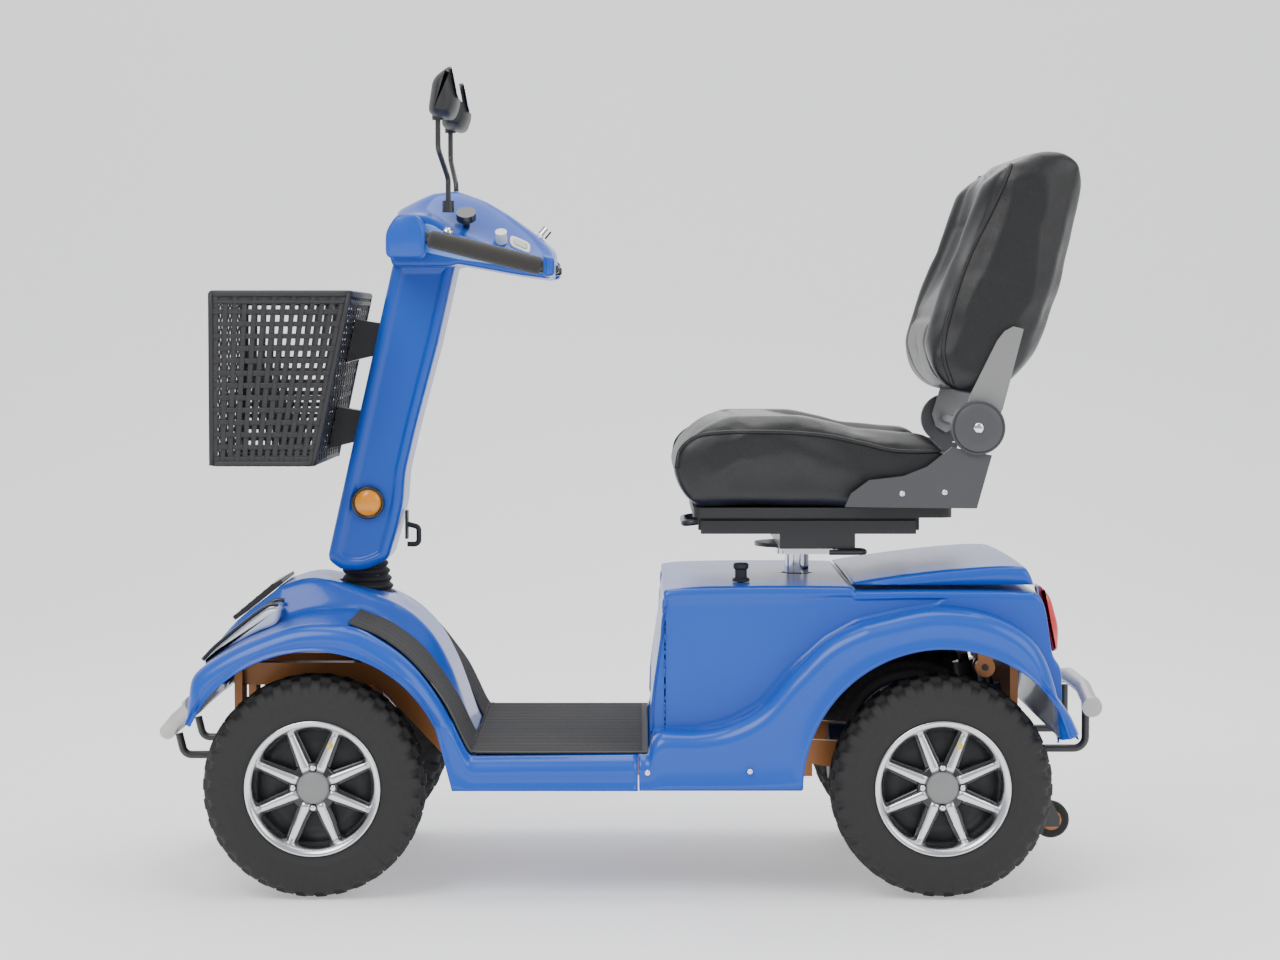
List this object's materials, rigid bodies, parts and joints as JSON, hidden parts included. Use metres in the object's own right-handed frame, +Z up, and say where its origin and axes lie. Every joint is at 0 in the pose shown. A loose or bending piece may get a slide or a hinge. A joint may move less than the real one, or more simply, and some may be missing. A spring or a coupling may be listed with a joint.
{
  "type": "mobility scooter",
  "caption": "Four-wheel mobility scooter with steering tiller, suspended drive axle, swivelling captain's seat and woven front basket.",
  "frame": {"origin": "on the ground, below the middle of the overall box", "axes": "+Z up, front of the scooter towards -X, rider's left towards -Y"},
  "size_m": [1.438, 0.64, 1.236],
  "materials": {
    "copper_paint": "satin",
    "black_steel": "satin",
    "silver_paint": "satin",
    "blue_shell": "gloss",
    "black_plastic": "matte",
    "grey_plastic": "satin",
    "mat_rubber": "matte",
    "bellows_rubber": "matte",
    "grip_foam": "matte",
    "tyre_rubber": "matte",
    "wheel_alloy": "satin",
    "chrome": "polished",
    "head_lens": "gloss",
    "red_lens": "gloss",
    "amber_lens": "gloss",
    "white_plastic": "gloss",
    "battery_case": "matte",
    "axle_casting": "satin",
    "seat_cover": "satin",
    "basket_weave": "satin"
  },
  "bodies": {
    "chassis": {"left_frame_rail": "copper_paint", "right_frame_rail": "copper_paint", "frame_cross_members": "copper_paint", "front_subframe": "copper_paint", "batteries": "battery_case", "front_body_shell": "blue_shell", "front_grille": "black_plastic", "headlights": "head_lens", "floor_mat": "mat_rubber", "rear_body_shell": "blue_shell", "tail_lights": "red_lens", "front_bumper": "silver_paint", "rear_bumper": "silver_paint", "bumper_stays": "black_steel", "anti_tip_bracket": "copper_paint", "shock_absorbers": "black_steel"},
    "deck_cover": {"rear_deck_cover": "blue_shell"},
    "deck_lock": {"deck_lock_knob": "chrome"},
    "rear_swing": {"swing_arm": "copper_paint", "transaxle": "axle_casting"},
    "steering_column": {"steering_shaft": "black_steel", "tiller_bellows": "bellows_rubber"},
    "tie_rod_pair": {"tie_rods": "black_steel"},
    "left_knuckle": {"knuckle_left": "black_steel"},
    "right_knuckle": {"knuckle_right": "black_steel"},
    "left_anti_tip": {"anti_tip_wheel_left": "tyre_rubber"},
    "right_anti_tip": {"anti_tip_wheel_right": "tyre_rubber"},
    "tiller": {"tiller_column": "black_steel", "tiller_cover": "blue_shell", "tiller_head": "blue_shell", "grip_bars": "chrome", "handle_grips": "grip_foam", "amber_lamps": "amber_lens", "mirror_stems": "black_steel", "basket_brackets": "black_plastic", "bag_hook": "black_plastic"},
    "throttle": {"throttle_lever": "white_plastic"},
    "dial": {"speed_dial": "grey_plastic"},
    "horn": {"horn_button": "white_plastic"},
    "key": {"ignition_key": "black_plastic"},
    "left_mirror": {"mirror_head_left": "black_plastic"},
    "right_mirror": {"mirror_head_right": "black_plastic"},
    "basket_body": {"basket": "basket_weave"},
    "seat_height_post": {"seat_post": "chrome"},
    "seat_swivel_frame": {"seat_rails": "black_steel"},
    "swivel_latch": {"swivel_lever": "black_steel"},
    "seat": {"seat_pan": "black_steel", "seat_cushion": "seat_cover", "seat_side_covers": "grey_plastic"},
    "slide_latch": {"slide_lever": "black_steel"},
    "backrest": {"backrest_frame": "silver_paint", "back_cushion": "seat_cover"},
    "front_left_wheel": {"front_left_tyre": "tyre_rubber", "front_left_rim": "wheel_alloy"},
    "front_right_wheel": {"front_right_tyre": "tyre_rubber", "front_right_rim": "wheel_alloy"},
    "rear_left_wheel": {"rear_left_tyre": "tyre_rubber", "rear_left_rim": "wheel_alloy"},
    "rear_right_wheel": {"rear_right_tyre": "tyre_rubber", "rear_right_rim": "wheel_alloy"}
  },
  "joints": [
    {"name": "tiller_steer", "type": "hinge", "parent": "chassis", "child": "steering_column", "pos_m": [-0.401, 0, 0.3], "axis": [0, 0, 1], "range_deg": [-32, 32]},
    {"name": "left_knuckle_turn", "type": "hinge", "parent": "chassis", "child": "left_knuckle", "pos_m": [-0.457, -0.205, 0.165], "axis": [0, 0, 1], "range_deg": [-32, 32]},
    {"name": "right_knuckle_turn", "type": "hinge", "parent": "chassis", "child": "right_knuckle", "pos_m": [-0.457, 0.205, 0.165], "axis": [0, 0, 1], "range_deg": [-32, 32]},
    {"name": "tie_rod_swing", "type": "hinge", "parent": "steering_column", "child": "tie_rod_pair", "pos_m": [-0.351, 0, 0.151], "axis": [0, 0, 1], "range_deg": [-32, 32]},
    {"name": "tiller_tilt", "type": "hinge", "parent": "steering_column", "child": "tiller", "pos_m": [-0.397, 0, 0.455], "axis": [0, 1, 0], "range_deg": [-8, 22]},
    {"name": "front_left_spin", "type": "hinge", "parent": "left_knuckle", "child": "front_left_wheel", "pos_m": [-0.457, -0.265, 0.165], "axis": [0, 1, 0], "continuous": true},
    {"name": "front_right_spin", "type": "hinge", "parent": "right_knuckle", "child": "front_right_wheel", "pos_m": [-0.457, 0.265, 0.165], "axis": [0, 1, 0], "continuous": true},
    {"name": "rear_suspension", "type": "hinge", "parent": "chassis", "child": "rear_swing", "pos_m": [0.225, 0, 0.201], "axis": [0, 1, 0], "range_deg": [-3.5, 2.5], "stiffness_Nm_per_rad": 6000, "springref_deg": 1.15},
    {"name": "rear_left_spin", "type": "hinge", "parent": "rear_swing", "child": "rear_left_wheel", "pos_m": [0.469, -0.265, 0.165], "axis": [0, 1, 0], "continuous": true},
    {"name": "rear_right_spin", "type": "hinge", "parent": "rear_swing", "child": "rear_right_wheel", "pos_m": [0.469, 0.265, 0.165], "axis": [0, 1, 0], "continuous": true},
    {"name": "left_anti_tip_spin", "type": "hinge", "parent": "chassis", "child": "left_anti_tip", "pos_m": [0.653, -0.115, 0.089], "axis": [0, 1, 0], "continuous": true},
    {"name": "right_anti_tip_spin", "type": "hinge", "parent": "chassis", "child": "right_anti_tip", "pos_m": [0.653, 0.115, 0.089], "axis": [0, 1, 0], "continuous": true},
    {"name": "deck_cover_lift", "type": "slide", "parent": "chassis", "child": "deck_cover", "axis": [0, 0, 1], "range_m": [0, 0.025]},
    {"name": "deck_lock_turn", "type": "hinge", "parent": "chassis", "child": "deck_lock", "pos_m": [0.176, -0.178, 0.46], "axis": [0, 0, 1], "range_deg": [0, 90]},
    {"name": "throttle_press", "type": "hinge", "parent": "tiller", "child": "throttle", "pos_m": [-0.16, 0.12, 0.936], "axis": [0, 1, 0], "range_deg": [-20, 20], "stiffness_Nm_per_rad": 0.4},
    {"name": "speed_dial_turn", "type": "hinge", "parent": "tiller", "child": "dial", "pos_m": [-0.241, -0.092, 1.005], "axis": [0, -0.5789, 0.8154], "range_deg": [-135, 135]},
    {"name": "horn_press", "type": "slide", "parent": "tiller", "child": "horn", "axis": [0, 0.5789, -0.8154], "range_m": [0, 0.002], "stiffness_N_per_m": 400},
    {"name": "key_turn", "type": "hinge", "parent": "tiller", "child": "key", "pos_m": [-0.13, 0, 0.9815], "axis": [0.6451, 0, 0.7641], "range_deg": [0, 90]},
    {"name": "left_mirror_turn", "type": "hinge", "parent": "tiller", "child": "left_mirror", "pos_m": [-0.28, -0.15, 1.15], "axis": [0, 0, 1], "range_deg": [-25, 25]},
    {"name": "right_mirror_turn", "type": "hinge", "parent": "tiller", "child": "right_mirror", "pos_m": [-0.28, 0.15, 1.15], "axis": [0, 0, 1], "range_deg": [-25, 25]},
    {"name": "basket_lift_off", "type": "slide", "parent": "tiller", "child": "basket_body", "axis": [0, 0, 1], "range_m": [0, 0.08]},
    {"name": "seat_height", "type": "slide", "parent": "chassis", "child": "seat_height_post", "axis": [0, 0, 1], "range_m": [0, 0.075]},
    {"name": "seat_swivel", "type": "hinge", "parent": "seat_height_post", "child": "seat_swivel_frame", "pos_m": [0.269, 0, 0.5], "axis": [0, 0, 1], "range_deg": [-90, 90]},
    {"name": "swivel_lever_pull", "type": "hinge", "parent": "seat_swivel_frame", "child": "swivel_latch", "pos_m": [0.329, -0.064, 0.503], "axis": [0, 0, 1], "range_deg": [0, 12], "stiffness_Nm_per_rad": 4},
    {"name": "seat_slide", "type": "slide", "parent": "seat_swivel_frame", "child": "seat", "axis": [1, 0, 0], "range_m": [-0.075, 0.05]},
    {"name": "slide_lever_lift", "type": "hinge", "parent": "seat", "child": "slide_latch", "pos_m": [0.15, 0, 0.548], "axis": [0, 1, 0], "range_deg": [0, 6], "stiffness_Nm_per_rad": 6, "springref_deg": -5.73},
    {"name": "backrest_fold", "type": "hinge", "parent": "seat", "child": "backrest", "pos_m": [0.525, 0, 0.693], "axis": [0, 1, 0], "range_deg": [-52, 15]}
  ],
  "couplings": [
    {"joint": "left_knuckle_turn", "follows": "tiller_steer", "ratio": 1},
    {"joint": "right_knuckle_turn", "follows": "tiller_steer", "ratio": 1},
    {"joint": "tie_rod_swing", "follows": "tiller_steer", "ratio": -1}
  ]
}
